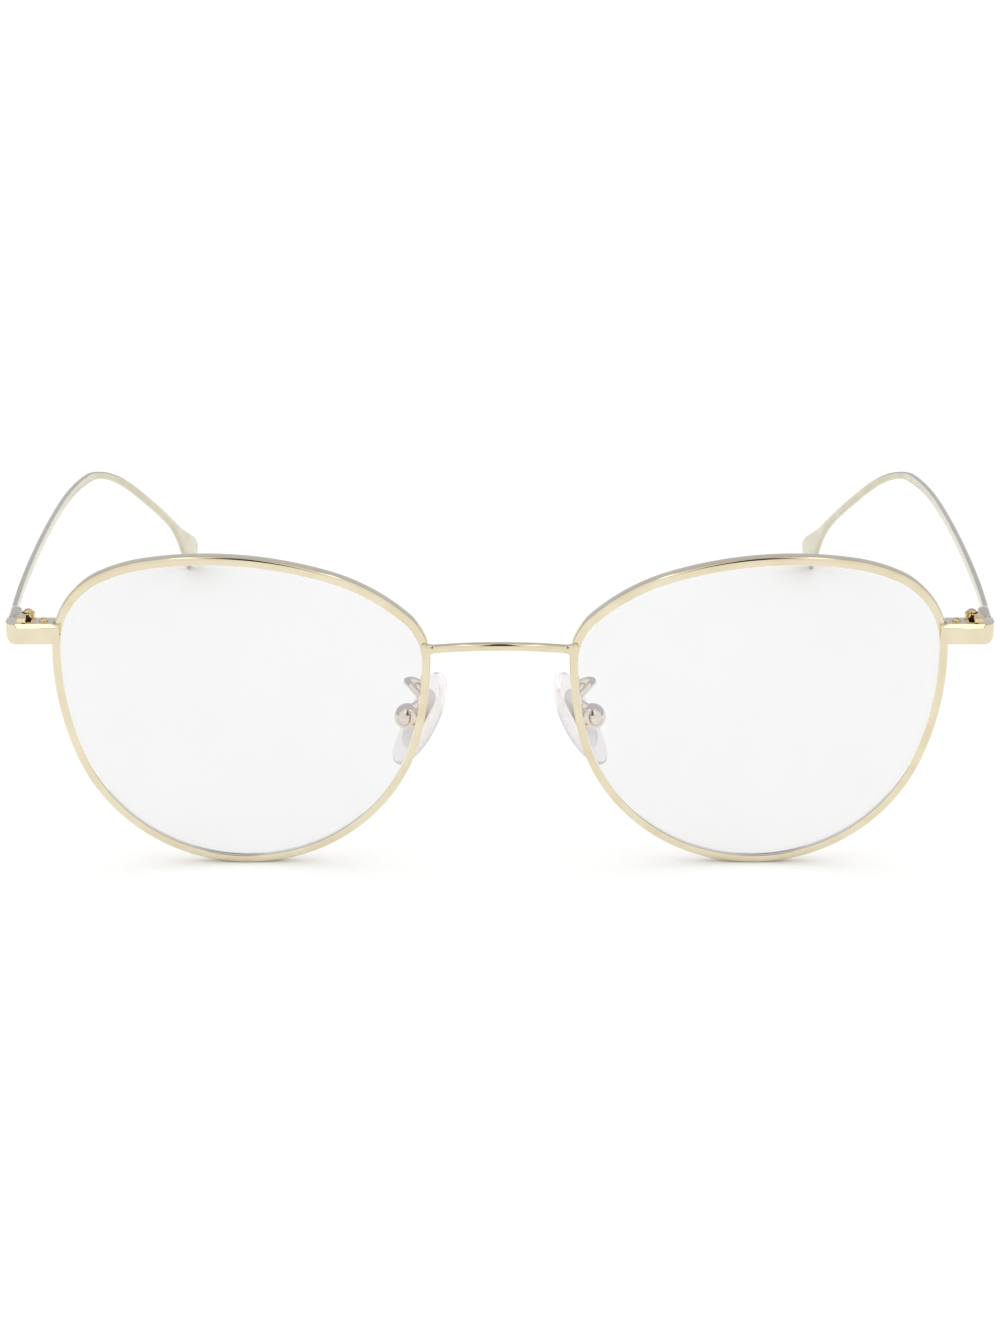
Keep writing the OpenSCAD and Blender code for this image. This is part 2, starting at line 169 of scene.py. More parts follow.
def smooth_table(table):
    """Function that runs smoothly through the (s, value) rows without overshooting them."""
    x = np.array([row[0] for row in table], float)
    y = np.array([row[1] for row in table], float)
    h = np.diff(x)
    slope = np.diff(y) / h
    m = np.zeros(len(x))
    for i in range(1, len(x) - 1):
        if slope[i - 1] * slope[i] > 0:
            w1 = 2 * h[i] + h[i - 1]
            w2 = h[i] + 2 * h[i - 1]
            m[i] = (w1 + w2) / (w1 / slope[i - 1] + w2 / slope[i])
    m[0] = slope[0]
    m[-1] = slope[-1]

    def value(s):
        i = int(min(max(np.searchsorted(x, s) - 1, 0), len(h) - 1))
        t = min(max((s - x[i]) / h[i], 0.0), 1.0)
        a = (1 + 2 * t) * (1 - t) ** 2 * y[i] + t * (1 - t) ** 2 * h[i] * m[i]
        return a + t * t * (3 - 2 * t) * y[i + 1] + t * t * (t - 1) * h[i] * m[i + 1]

    return value


def along(path, s):
    """Point at s from 0 to 1 on the smooth curve through the points of path."""
    last = len(path) - 1
    u = s * last
    i = min(int(math.floor(u)), last - 1)
    t = u - i
    a, b = path[i], path[i + 1]
    da = (path[min(i + 1, last)] - path[max(i - 1, 0)]) / 2
    db = (path[min(i + 2, last)] - path[i]) / 2
    h = a * (2 * t ** 3 - 3 * t ** 2 + 1) + da * (t ** 3 - 2 * t ** 2 + t)
    return h + b * (3 * t ** 2 - 2 * t ** 3) + db * (t ** 3 - t ** 2)


def tangent(path, s):
    return unit(along(path, min(s + 0.002, 1)) - along(path, max(s - 0.002, 0)))


def superellipse(a, b, e, n):
    """Ring of n points, half width a and half height b; e of 1 is an ellipse, less is squarer."""
    t = 2 * math.pi * (np.arange(n) + 0.5) / n
    c, s = np.cos(t), np.sin(t)
    return np.stack([a * np.sign(c) * abs(c) ** e, b * np.sign(s) * abs(s) ** e], 1)


def ring(centre, u, v, section):
    return centre + np.outer(section[:, 0], u) + np.outer(section[:, 1], v)


# ---- Meshes -------------------------------------------------------------------------------------
def mesh_object(name, verts, faces):
    mesh = bpy.data.meshes.new(name)
    mesh.from_pydata([tuple(map(float, v)) for v in verts], [], faces)
    bm = bmesh.new()
    bm.from_mesh(mesh)
    bmesh.ops.recalc_face_normals(bm, faces=bm.faces)
    bm.to_mesh(mesh)
    bm.free()
    return bpy.data.objects.new(name, mesh)


def sweep(name, rings, closed=False):
    """Solid through a list of rings of equal length. Open ends get flat caps."""
    n, m = len(rings[0]), len(rings)
    faces = []
    for i in range(m if closed else m - 1):
        for j in range(n):
            a, b = i * n + j, i * n + (j + 1) % n
            c, d = (i + 1) % m * n + (j + 1) % n, (i + 1) % m * n + j
            faces.append((a, b, c, d))
    if not closed:
        faces.append(tuple(range(n))[::-1])
        faces.append(tuple((m - 1) * n + j for j in range(n)))
    return mesh_object(name, np.concatenate(rings), faces)


def extrude(name, outline_points, low, high, axis="Z"):
    """Prism over a plane outline: (x, y) raised along Z, or (x, z) drawn along Y."""
    n = len(outline_points)
    if axis == "Z":
        verts = [(x, y, h) for h in (low, high) for x, y in outline_points]
    else:
        verts = [(x, h, z) for h in (low, high) for x, z in outline_points]
    faces = [(j, (j + 1) % n, n + (j + 1) % n, n + j) for j in range(n)]
    faces += [tuple(range(n))[::-1], tuple(range(n, 2 * n))]
    return mesh_object(name, verts, faces)


def box_piece(name, low, high):
    corners = [(low[0], low[1]), (high[0], low[1]), (high[0], high[1]), (low[0], high[1])]
    return extrude(name, corners, low[2], high[2])


def lathe(name, profile, steps=64, closed=False):
    """Solid of revolution about Z through (radius, height) points. A closed profile leaves a bore."""
    t = 2 * math.pi * np.arange(steps) / steps
    rings = [np.stack([r * np.cos(t), r * np.sin(t), np.full(steps, z)], 1) for r, z in profile]
    return sweep(name, rings, closed)


def arc_points(cx, cy, r, start, end, steps):
    t = np.radians(np.linspace(start, end, steps + 1))
    return [(cx + r * math.cos(a), cy + r * math.sin(a)) for a in t]


def bake(obj):
    """Applies the modifiers of obj to its mesh."""
    linked = obj.name in bpy.context.scene.collection.objects
    if not linked:
        bpy.context.scene.collection.objects.link(obj)
    graph = bpy.context.evaluated_depsgraph_get()
    mesh = bpy.data.meshes.new_from_object(obj.evaluated_get(graph))
    obj.modifiers.clear()
    obj.data = mesh
    if not linked:
        bpy.context.scene.collection.objects.unlink(obj)
    return obj


def combine(a, b, operation):
    """Joins, cuts or intersects a with b. b is used up."""
    bpy.context.scene.collection.objects.link(b)
    step = a.modifiers.new("combine", "BOOLEAN")
    step.operation = operation
    step.solver = "EXACT"
    step.object = b
    bake(a)
    bpy.data.objects.remove(b)
    return a


def soften(obj, width, segments=3, angle=28):
    """Rounds the edges sharper than angle."""
    step = obj.modifiers.new("soften", "BEVEL")
    step.width = width
    step.segments = segments
    step.limit_method = "ANGLE"
    step.angle_limit = math.radians(angle)
    step.harden_normals = False
    return bake(obj)


def moved(obj, matrix):
    obj.data.transform(matrix)
    if matrix.determinant() < 0:
        obj.data.flip_normals()
    return obj


SHARP_ANGLE = 32


def place(obj, side, body, material, node):
    """Puts a finished right-hand piece into the frame, mirrored for the left."""
    x = -1 if side == "left" else 1
    to_frame = Matrix.Diagonal((x * MM, MM, MM, 1)) @ Matrix.Translation((0, SEAT, 0))
    moved(obj, to_frame)
    mesh = obj.data
    mesh.shade_smooth()
    mesh.set_sharp_from_angle(angle=math.radians(SHARP_ANGLE))
    mesh.materials.clear()
    mesh.materials.append(material)
    bpy.context.scene.collection.objects.link(obj)
    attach(obj, body)
    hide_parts(node)
    return obj


# ---- Materials ----------------------------------------------------------------------------------
def new_material(name):
    mat = bpy.data.materials.new(name)
    mat.use_nodes = True
    nodes = mat.node_tree.nodes
    return mat, nodes, mat.node_tree.links, nodes["Principled BSDF"]


def noise(nodes, links, scale, detail, stretch=(1, 1, 1)):
    coords = nodes.new("ShaderNodeTexCoord")
    mapping = nodes.new("ShaderNodeMapping")
    mapping.inputs["Scale"].default_value = stretch
    texture = nodes.new("ShaderNodeTexNoise")
    texture.inputs["Scale"].default_value = scale
    texture.inputs["Detail"].default_value = detail
    links.new(coords.outputs["Object"], mapping.inputs["Vector"])
    links.new(mapping.outputs["Vector"], texture.inputs["Vector"])
    return texture.outputs["Fac"]


def two_tone(nodes, links, fac, low, high, start=0.35, end=0.65):
    ramp = nodes.new("ShaderNodeValToRGB")
    ramp.color_ramp.elements[0].position = start
    ramp.color_ramp.elements[0].color = (*low, 1)
    ramp.color_ramp.elements[1].position = end
    ramp.color_ramp.elements[1].color = (*high, 1)
    links.new(fac, ramp.inputs["Fac"])
    return ramp.outputs["Color"]


def spread(nodes, links, fac, low, high):
    span = nodes.new("ShaderNodeMapRange")
    span.inputs["From Min"].default_value = 0.3
    span.inputs["From Max"].default_value = 0.7
    span.inputs["To Min"].default_value = low
    span.inputs["To Max"].default_value = high
    links.new(fac, span.inputs["Value"])
    return span.outputs["Result"]


def bump(nodes, links, fac, distance, strength):
    node = nodes.new("ShaderNodeBump")
    node.inputs["Strength"].default_value = strength
    node.inputs["Distance"].default_value = distance
    links.new(fac, node.inputs["Height"])
    return node.outputs["Normal"]


DRIFT_SCALE = 260
POLISH_SCALE = 900
BRUSH_SCALE = 2500
BRUSH_STRENGTH = 0.35


def metal(name, light, dark, rough, brush, brush_depth):
    """Plated metal: slight colour drift, uneven polish and fine marks, stretched as brush says."""
    mat, nodes, links, shader = new_material(name)
    drift = noise(nodes, links, DRIFT_SCALE, 4)
    links.new(two_tone(nodes, links, drift, dark, light), shader.inputs["Base Color"])
    polish = noise(nodes, links, POLISH_SCALE, 5)
    links.new(spread(nodes, links, polish, *rough), shader.inputs["Roughness"])
    marks = noise(nodes, links, BRUSH_SCALE, 3, brush)
    links.new(bump(nodes, links, marks, brush_depth, BRUSH_STRENGTH), shader.inputs["Normal"])
    shader.inputs["Metallic"].default_value = 1.0
    return mat


CLOUD_SCALE = 120
SMEAR_SCALE = 420


def clear_material(name, tint_low, tint_high, ior, rough, passing):
    """See-through material that bends what is seen through it, and lets all other light straight past."""
    mat, nodes, links, shader = new_material(name)
    cloud = noise(nodes, links, CLOUD_SCALE, 3)
    links.new(two_tone(nodes, links, cloud, tint_low, tint_high), shader.inputs["Base Color"])
    smear = noise(nodes, links, SMEAR_SCALE, 4)
    links.new(spread(nodes, links, smear, *rough), shader.inputs["Roughness"])
    shader.inputs["IOR"].default_value = ior
    shader.inputs["Transmission Weight"].default_value = passing
    through = nodes.new("ShaderNodeBsdfTransparent")
    rays = nodes.new("ShaderNodeLightPath")
    direct = nodes.new("ShaderNodeMixShader")
    links.new(rays.outputs["Is Camera Ray"], direct.inputs["Fac"])
    links.new(through.outputs["BSDF"], direct.inputs[1])
    links.new(shader.outputs["BSDF"], direct.inputs[2])
    inside = nodes.new("ShaderNodeMixShader")
    links.new(rays.outputs["Is Transmission Ray"], inside.inputs["Fac"])
    links.new(direct.outputs["Shader"], inside.inputs[1])
    links.new(shader.outputs["BSDF"], inside.inputs[2])
    links.new(inside.outputs["Shader"], nodes["Material Output"].inputs["Surface"])
    return mat


GOLD = ((0.80, 0.725, 0.54), (0.74, 0.655, 0.46))
# The temples are the same gold plating as the rims. This copy is painted darker and greyer, as painted
# shade for the duller light on the temples.
SHADED_TEMPLE_GOLD = ((0.66, 0.62, 0.47), (0.60, 0.56, 0.42))
HINGE_GOLD = ((0.86, 0.73, 0.46), (0.74, 0.59, 0.32))
ROSE = ((0.84, 0.77, 0.70), (0.77, 0.69, 0.61))
SATIN = ((0.95, 0.92, 0.90), (0.90, 0.87, 0.84))

# Named after the record's slots. A material named after a part is that part's own finish.
MATERIALS = {
    "rim_metal": metal("rim_metal", *GOLD, (0.05, 0.11), (1, 1, 1), 2e-6),
    # temple_metal uses the darker temple gold, whose darkening is painted shade.
    "temple_metal": metal("temple_metal", *SHADED_TEMPLE_GOLD, (0.12, 0.22), (3, 0.15, 3), 2e-6),
    "hinge_metal": metal("hinge_metal", *HINGE_GOLD, (0.10, 0.20), (1, 1, 4), 3e-6),
    "screw_metal": metal("screw_metal", *HINGE_GOLD, (0.09, 0.18), (2, 2, 6), 3e-6),
    "pad_metal": metal("pad_metal", *ROSE, (0.03, 0.07), (1, 1, 1), 2e-6),
    "pad_core": metal("pad_core", *SATIN, (0.32, 0.42), (1, 1, 1), 2e-6),
    "lens": clear_material("lens", (0.87, 0.87, 0.872), (0.88, 0.88, 0.882), 1.5, (0.0, 0.012), 1.0),
    "pad_silicone": clear_material(
        "pad_silicone", (0.88, 0.865, 0.86), (0.93, 0.915, 0.91), 1.41, (0.06, 0.16), 0.84),
}


# ---- Rims and lenses ----------------------------------------------------------------------------
GROOVE_MID = RIM_D / 2
GROOVE_HALF = 0.42
RIM_STEPS = 400
RIM_SPLIT = 1.2
SPLIT_AT = 10.1


def rim_section():
    """Rim wire as [out from the lens edge, depth]: flat front with round shoulders, V groove inside."""
    corner = 0.36
    inner = 0.1
    points = arc_points(RIM_EDGE - corner, corner, corner, -90, 0, 7)
    points += arc_points(RIM_EDGE - corner, RIM_D - corner, corner, 0, 90, 7)
    points += arc_points(-GROOVE_H + inner, RIM_D - inner, inner, 90, 180, 3)
    points += [(-GROOVE_H, GROOVE_MID + GROOVE_HALF), (-0.02, GROOVE_MID + 0.05)]
    points += [(-0.02, GROOVE_MID - 0.05), (-GROOVE_H, GROOVE_MID - GROOVE_HALF)]
    points += arc_points(-GROOVE_H + inner, inner, inner, 180, 270, 3)
    return points


def rim():
    section = rim_section()
    rings = []
    for i in range(RIM_STEPS + 1):
        a = SPLIT_AT + RIM_SPLIT / 2 + i * (360 - RIM_SPLIT) / RIM_STEPS
        rings.append(np.array([on_front(outline(a, out), deep) for out, deep in section]))
    return sweep("rim", rings)


LENS_FRONT = (RIM_D - LENS_T) / 2
LENS_EDGE = -GROOVE_H - 0.08
BEVEL_HALF = 0.35
BEVEL_TIP = -0.02
LENS_STEPS = 288
LENS_RINGS = 26
LENS_MID = 0.004


def lens():
    """Lens with both faces on the base curve and a V bevel round the edge."""
    def circle(k, d, w):
        turns = (i * 360 / LENS_STEPS for i in range(LENS_STEPS))
        return np.array([on_front(k * outline(a, d), w) for a in turns])

    steps = [max(k / LENS_RINGS, LENS_MID) for k in range(LENS_RINGS + 1)]
    rings = [circle(k, LENS_EDGE, LENS_FRONT + LENS_T) for k in steps]
    rings += [circle(1, LENS_EDGE, GROOVE_MID + BEVEL_HALF), circle(1, BEVEL_TIP, GROOVE_MID)]
    rings += [circle(1, LENS_EDGE, GROOVE_MID - BEVEL_HALF)]
    rings += [circle(k, LENS_EDGE, LENS_FRONT) for k in reversed(steps)]
    return sweep("lens", rings)


# ---- Bridge -------------------------------------------------------------------------------------
BRIDGE_END = LENS_GAP / 2 + 0.55
BRIDGE_Z = 31.25
BRIDGE_ARCH = 1.2
BRIDGE_Y = 2.75
BRIDGE_BOW = 2.0
SADDLE_H = 0.5
SADDLE_LAP = 0.65
SADDLE_THIN = 0.2
BRIDGE_STEPS = 72


def bridge():
    """Round bar bowed to the front, with ends that swell into saddles over the fronts of the rims."""
    swell = smooth_table([(0, 0), (0.84, 0), (0.9, 0.4), (0.95, 0.95), (0.985, 1), (1, 0.85)])
    rings = []
    for i in range(-BRIDGE_STEPS, BRIDGE_STEPS + 1):
        s = i / BRIDGE_STEPS
        g = swell(abs(s))
        k = 1 - s * s
        centre = np.array([
            s * BRIDGE_END, BRIDGE_Y - BRIDGE_BOW * k - SADDLE_LAP * g, BRIDGE_Z + BRIDGE_ARCH * k])
        section = superellipse(
            BRIDGE_D / 2 - SADDLE_THIN * g, BRIDGE_D / 2 + SADDLE_H * g, 1 - 0.25 * g, 28)
        rings.append(ring(centre, np.array([0, -1, 0]), np.array([0, 0, 1]), section))
    return soften(sweep("bridge", rings), 0.12, 3, 50)


# ---- Endpieces and rim locks --------------------------------------------------------------------
END_X = -FRONT_W / 2
PLATE_T = 1.2
RETURN_T = 1.7
RETURN_Y = 4.85
PLATE_IN = END_X + 7.35
LAP_W = 0.95
LAP_T = 0.8
CORNER = 1.8
LOW_CORNER = 1.3
BEVEL_CUT = 0.47
BEVEL_FROM = END_X + 1.4
LOCK_IN = END_X + 6.6
LOCK_W = 3.2
LOCK_Y = END_Y + PLATE_T
LOCK_D = 2.35
LOCK_GAP = 0.1
LOCK_TOP = ENDPIECE_H / 2 - 0.05
LOCK_LOW = 0.1 - ENDPIECE_H / 2
LOCK_HOLE = (LOCK_IN - 1.5, LOCK_Y + 1.0)
EDGE = 0.07


def endpiece_plan():
    inner = 0.3
    lap = PLATE_IN - LAP_W
    points = [(PLATE_IN, END_Y), (PLATE_IN, END_Y + LAP_T), (lap, END_Y + LAP_T), (lap, LOCK_Y)]
    points += arc_points(END_X + RETURN_T + inner, LOCK_Y + inner, inner, 270, 180, 6)
    points += [(END_X + RETURN_T, RETURN_Y), (END_X, RETURN_Y)]
    points += arc_points(END_X + CORNER, END_Y + CORNER, CORNER, 180, 270, 18)
    return points


def endpiece_face():
    high = ENDPIECE_H / 2
    points = [(PLATE_IN + 1, high), (END_X - 1, high), (END_X - 1, 0), (END_X, 0)]
    points += arc_points(END_X + LOW_CORNER, LOW_CORNER - high, LOW_CORNER, 180, 270, 14)
    return points + [(PLATE_IN + 1, -high)]


def front_bevel():
    """Wedge that cuts the bevel along the top of the front. Both ends are mitred."""
    high = ENDPIECE_H / 2
    low_y, low_z = END_Y, high - BEVEL_CUT
    top_y = END_Y + BEVEL_CUT
    out = 0.4
    mitre_out, mitre_in = 0.32, 0.42
    ends = ((BEVEL_FROM, BEVEL_FROM + mitre_out), (PLATE_IN, PLATE_IN - mitre_in))
    verts = []
    for x_top, x_low in ends:
        verts += [(x_low, low_y, low_z), (x_low, low_y - out, low_z), (x_top, top_y, high)]
        verts += [(x_top, top_y, high + out), (x_top, low_y - out, high + out)]
    cutter = mesh_object("wedge", verts, [])
    bm = bmesh.new()
    bm.from_mesh(cutter.data)
    bmesh.ops.convex_hull(bm, input=bm.verts)
    bmesh.ops.recalc_face_normals(bm, faces=bm.faces)
    bm.to_mesh(cutter.data)
    bm.free()
    return cutter


def endpiece():
    high = ENDPIECE_H / 2
    solid = extrude("endpiece", endpiece_plan(), -high, high)
    combine(solid, extrude("face", endpiece_face(), 0, RETURN_Y + 1, "Y"), "INTERSECT")
    combine(solid, front_bevel(), "DIFFERENCE")
    soften(solid, EDGE)
    return moved(solid, Matrix.Translation((0, 0, LOCK_Z)))


def lock_block(low, high):
    """Half of the rim lock: a block soldered to the wire behind the endpiece."""
    left, right = LOCK_IN - LOCK_W, LOCK_IN
    back = LOCK_Y + LOCK_D
    rim_r, hinge_r = 0.25, 0.6
    points = [(left, LOCK_Y), (right, LOCK_Y), (right, back - rim_r)]
    points += arc_points(right - rim_r, back - rim_r, rim_r, 0, 90, 5)
    points += arc_points(left + hinge_r, back - hinge_r, hinge_r, 90, 180, 10)
    solid = soften(extrude("lock", points, low, high), EDGE)
    return moved(solid, Matrix.Translation((0, 0, LOCK_Z)))


def upper_lock():
    return lock_block(LOCK_GAP / 2, LOCK_TOP)


def lower_lock():
    return lock_block(LOCK_LOW, -LOCK_GAP / 2)


def screw(shaft_r, shaft_len, head_r, head_h, slot_w):
    """Screw with a domed, slotted head. Its shaft hangs below the origin."""
    dome_r = 1.3 * head_r
    centre = head_h - dome_r
    chamfer = 0.05
    edge = 0.02
    dome_steps = 12
    slot_from = 0.45 * head_h
    rim_z = centre + math.sqrt(dome_r * dome_r - head_r * head_r)
    profile = [(shaft_r - chamfer, -shaft_len), (shaft_r, -shaft_len + chamfer), (shaft_r, 0)]
    profile += [(head_r - chamfer, 0), (head_r, chamfer)]
    profile += [(head_r, max(rim_z - edge, chamfer + edge / 2))]
    for k in range(1, dome_steps):
        r = (head_r - edge) * (1 - k / dome_steps)
        profile.append((r, centre + math.sqrt(dome_r * dome_r - r * r)))
    solid = lathe("screw", profile)
    reach = head_r + 0.1
    slot = box_piece("slot", (-reach, -slot_w / 2, slot_from), (reach, slot_w / 2, 2 * head_h))
    combine(solid, slot, "DIFFERENCE")
    return soften(solid, 0.02, 2, 40)


def lock_screw():
    head = screw(shaft_r=0.4, shaft_len=ENDPIECE_H - 0.3, head_r=0.62, head_h=0.45, slot_w=0.2)
    to_hole = Matrix.Translation((*LOCK_HOLE, LOCK_Z + LOCK_TOP))
    return moved(head, to_hole @ Matrix.Rotation(math.radians(60), 4, "Z"))


# ---- Hinges -------------------------------------------------------------------------------------
AXIS_X = END_X + 2.8
AXIS_Y = 5.6
BARREL_LOW = -1.9
BARREL_HIGH = 1.9
KNUCKLE_LOW = -0.7
KNUCKLE_HIGH = 0.5
KNUCKLE_GAP = 0.05
KNUCKLE_ROOM = 0.12
PIN_PLAY = 0.02
LEAF_FROM = END_X + 1.15
LEAF_TO = END_X + 2.4
LEAF_T = 1.0
LEAF_LEN = 3.2
LEAF_LAP = 0.1
LINK_FROM = END_X + 1.45
FRONT_LEAF_LOW = BARREL_LOW + 0.5
ON_AXIS = Matrix.Translation((AXIS_X, AXIS_Y, 0))


def barrel(low, high, hole=HINGE_PIN_R):
    """Knuckle about the hinge line, chamfered at both ends, with its bore."""
    c = 0.08
    profile = [
        (hole, low), (BARREL_R - c, low), (BARREL_R, low + c), (BARREL_R, high - c),
        (BARREL_R - c, high), (hole, high),
    ]
    return moved(lathe("barrel", profile, closed=True), ON_AXIS)


def drill(solid, radius, low, high):
    """Cuts a round hole about the hinge line."""
    return combine(solid, moved(lathe("bore", [(radius, low), (radius, high)]), ON_AXIS), "DIFFERENCE")


def front_hinge():
    """Two outer knuckles and the leaf that carries them, soldered inside the endpiece."""
    leaf_x = END_X + RETURN_T
    low_end, high_end = KNUCKLE_LOW - KNUCKLE_GAP, KNUCKLE_HIGH + KNUCKLE_GAP
    leaf = box_piece(
        "hinge", (leaf_x - LEAF_LAP, LOCK_Y, FRONT_LEAF_LOW), (leaf_x + LEAF_T, AXIS_Y, BARREL_HIGH))
    drill(leaf, BARREL_R + KNUCKLE_ROOM, low_end, high_end)
    drill(leaf, HINGE_PIN_R, BARREL_LOW - 1, BARREL_HIGH + 1)
    soften(leaf, 0.06, 2, 40)
    combine(leaf, barrel(BARREL_LOW, low_end), "UNION")
    combine(leaf, barrel(high_end, BARREL_HIGH), "UNION")
    return moved(leaf, Matrix.Translation((0, 0, LOCK_Z)))


def temple_hinge():
    """Middle knuckle and the leaf that joins it to the temple."""
    hole = HINGE_PIN_R + PIN_PLAY
    back = AXIS_Y + BARREL_R
    tail_y = back - LEAF_LAP
    arm = box_piece("hinge", (LINK_FROM, AXIS_Y + LEAF_LAP, KNUCKLE_LOW), (AXIS_X, back, KNUCKLE_HIGH))
    tail = box_piece(
        "tail", (LEAF_FROM, tail_y, KNUCKLE_LOW), (LEAF_TO, tail_y + LEAF_LEN, KNUCKLE_HIGH))
    combine(arm, tail, "UNION")
    drill(arm, hole, KNUCKLE_LOW - 1, KNUCKLE_HIGH + 1)
    soften(arm, 0.06, 2, 40)
    combine(arm, barrel(KNUCKLE_LOW, KNUCKLE_HIGH, hole=hole), "UNION")
    return moved(arm, Matrix.Translation((0, 0, LOCK_Z)))


def hinge_screw():
    length = BARREL_HIGH - BARREL_LOW - 0.1
    head = screw(shaft_r=HINGE_PIN_R, shaft_len=length, head_r=0.68, head_h=0.5, slot_w=0.22)
    to_axis = Matrix.Translation((AXIS_X, AXIS_Y, LOCK_Z + BARREL_HIGH))
    return moved(head, to_axis @ Matrix.Rotation(math.radians(35), 4, "Z"))


# ---- Temples ------------------------------------------------------------------------------------
BUTT_Y = RETURN_Y + 0.25
# [inwards from the outer face, back, height]; back and height are shares
WIRE_RUN = [
    (-0.2, 0.000, 0.994), (-0.95, 0.150, 0.984), (-1.25, 0.340, 0.951), (-0.9, 0.525, 0.907),
    (0.3, 0.640, 0.869), (1.9, 0.700, 0.830), (4.7, 0.748, 0.741), (8.0, 0.810, 0.569),
    (10.8, 0.880, 0.373), (12.2, 0.942, 0.184), (12.9, 1.000, 0.030),
]
TEMPLE_PATH = [
    np.array([END_X + TEMPLE_T / 2 + x, BUTT_Y + y * (REACH - BUTT_Y), LOCK_Z * z])
    for x, y, z in WIRE_RUN
]
HALF_T = smooth_table([
    (0, 0.54), (0.019, 0.54), (0.021, 0.9), (0.039, 0.9), (0.047, TEMPLE_T / 2),
    (0.45, TEMPLE_T / 2), (0.52, 0.52),
    (0.86, 0.5), (0.92, 0.42), (1, 0.36),
])
HALF_H = smooth_table([
    (0, 1.05), (0.039, 1.0), (0.047, TEMPLE_H / 2), (0.42, TEMPLE_H / 2), (0.5, 0.58),
    (0.78, 0.58), (0.84, 0.2 * PADDLE_W), (0.9, 0.37 * PADDLE_W), (0.935, 0.48 * PADDLE_W),
    (0.955, 0.5 * PADDLE_W), (0.975, 0.49 * PADDLE_W), (0.988, 0.4 * PADDLE_W),
    (0.996, 0.26 * PADDLE_W), (1, 0.08 * PADDLE_W),
])
PADDLE_LIFT = smooth_table([(0, 0), (0.78, 0), (0.9, 0.08 * PADDLE_W), (0.95, 0.1 * PADDLE_W), (1, 0)])
PADDLE_ROLL = smooth_table([(0, 0), (0.8, 0), (0.92, 18), (1, 18)])
OUTER_FACE = smooth_table([(0, 1), (0.1, 1), (0.4, 0), (1, 0)])
TEMPLE_SECTION = 24


def temple_ring(s):
    t = tangent(TEMPLE_PATH, s)
    side = unit(np.cross(t, (0, 0, 1)))
    up = np.cross(side, t)
    r = math.radians(PADDLE_ROLL(s))
    u = side * math.cos(r) - up * math.sin(r)
    v = side * math.sin(r) + up * math.cos(r)
    a = HALF_T(s)
    centre = along(TEMPLE_PATH, s) + (a - TEMPLE_T / 2) * OUTER_FACE(s) * u + PADDLE_LIFT(s) * v
    return ring(centre, u, v, superellipse(a, HALF_H(s), 0.6, TEMPLE_SECTION))


def temple():
    stations = np.concatenate([
        np.linspace(0, 0.06, 26), np.linspace(0.065, 0.94, 180), np.linspace(0.943, 0.99, 20),
        np.linspace(0.991, 1, 14),
    ])
    return soften(sweep("temple", [temple_ring(s) for s in stations]), 0.08, 3, 50)


# ---- Nose pads ----------------------------------------------------------------------------------
# In the pad's own frame +X faces the nose, Z runs along the pad and Y across it
PAD_AT = (-11.0, 9.6, 18.9)
ON_PAD = (
    Matrix.Translation(PAD_AT)
    @ Matrix.Rotation(math.radians(PAD_FLARE), 4, "Y")
    @ Matrix.Rotation(math.radians(PAD_SPLAY), 4, "Z")
)
BOX_R = 1.85
BOX_BACK = 2.3
BOX_FACE = 1.45
PAD_PIN_R = 0.35
SLOT_T = 0.5
SLOT_H = 1.25
TONGUE_T = 0.4
TONGUE_R = 0.7
CORE_HALF = 0.31 * PAD_LEN
CORE_R = 0.25 * PAD_W
CORE_BACK = -0.2
CORE_FRONT = 0.15
HOLE_STEPS = 48


def pin_hole(r, reach):
    """Round bar about the pad pin, reaching equally far both ways, to cut a bore with."""
    points = arc_points(-BOX_BACK, 0, r, 0, 360 - 360 / HOLE_STEPS, HOLE_STEPS - 1)
    return extrude("bore", points, -reach, reach, "Y")


def nose_pad():
    """Soft oval pad with its face bent a little round the nose."""
    rings = []
    steps = 56
    end_gap = 0.35
    face_x, face_bow = 0.25, 0.45
    for i in range(steps + 1):
        c = math.radians(90 - 180 * (end_gap + i) / (steps + 2 * end_gap))
        z = math.sin(c)
        half_t = PAD_T / 2 * math.cos(c) ** 0.5
        half_w = PAD_W / 2 * math.cos(c) ** 0.85
        centre = np.array([face_x - face_bow * z * z, 0, z * PAD_LEN / 2])
        section = superellipse(half_t, half_w, 0.85, 44)
        rings.append(ring(centre, np.array([1, 0, 0]), np.array([0, 1, 0]), section))
    return moved(sweep("pad", rings), ON_PAD)


def pad_core():
    """Metal plate inside the silicone, with the tongue that reaches into the box."""
    end = CORE_HALF - CORE_R
    outline_points = arc_points(0, end, CORE_R, 0, 180, 24) + arc_points(0, -end, CORE_R, 180, 360, 24)
    plate = extrude("core", outline_points, CORE_BACK, CORE_FRONT)
    moved(plate, Matrix(((0, 0, 1, 0), (1, 0, 0, 0), (0, 1, 0, 0), (0, 0, 0, 1))))
    soften(plate, 0.08, 3)
    points = [(-0.1, -TONGUE_R), (-0.1, TONGUE_R)] + arc_points(-BOX_BACK, 0, TONGUE_R, 90, 270, 20)
    tongue = extrude("tongue", points, -TONGUE_T, TONGUE_T, "Y")
    combine(tongue, pin_hole(PAD_PIN_R + 0.05, 1), "DIFFERENCE")
    combine(plate, tongue, "UNION")
    return moved(plate, ON_PAD)


